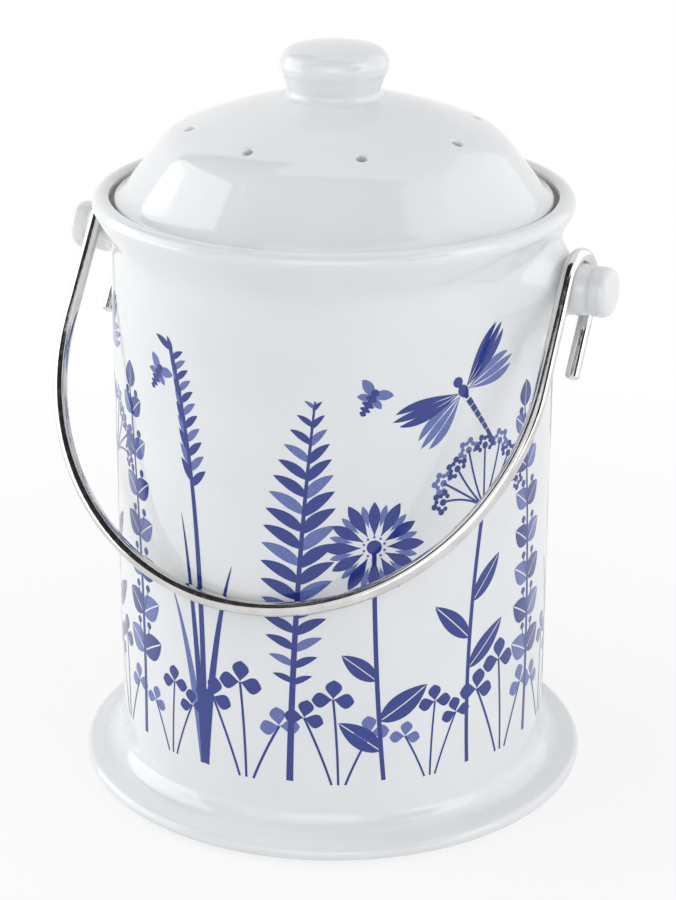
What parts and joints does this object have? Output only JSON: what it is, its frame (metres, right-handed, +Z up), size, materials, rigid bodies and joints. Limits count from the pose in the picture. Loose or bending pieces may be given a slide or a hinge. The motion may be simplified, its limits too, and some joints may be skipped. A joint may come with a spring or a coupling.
{
  "type": "ceramic compost caddy",
  "caption": "Ceramic compost caddy: turned crock with a base flange and rolled rim, vented lift-off lid with a knob, carbon pad, and a wire bail on side pegs.",
  "frame": {"origin": "centre of the foot ring, on the surface that the caddy stands on", "axes": "+Z up along the axis of the turned crock; +X towards the right peg; -Y towards the side on which the bail hangs"},
  "size_m": [0.2068, 0.185, 0.2676],
  "materials": {
    "glaze": "cool white glaze, smooth and glossy, with a two-tone cobalt blue print on the wall",
    "carbon_foam": "black open-cell carbon foam, matt",
    "spring_wire": "drawn spring wire",
    "bail_wire": "bright polished steel wire"
  },
  "bodies": {
    "crock": {"crock": "glaze", "peg_left": "glaze", "peg_right": "glaze"},
    "lid": {"lid": "glaze", "lid_knob": "glaze", "carbon_pad": "carbon_foam", "pad_ring": "spring_wire"},
    "bail": {"bail": "bail_wire"}
  },
  "joints": [
    {"name": "bail_swing", "type": "hinge", "parent": "crock", "child": "bail", "pos_m": [0, 0, 0.1913], "axis": [-1, 0, 0], "range_deg": [0, 282.5]},
    {"name": "lid_lift", "type": "slide", "parent": "crock", "child": "lid", "axis": [0, 0, 1], "range_m": [0, 0.1]}
  ]
}
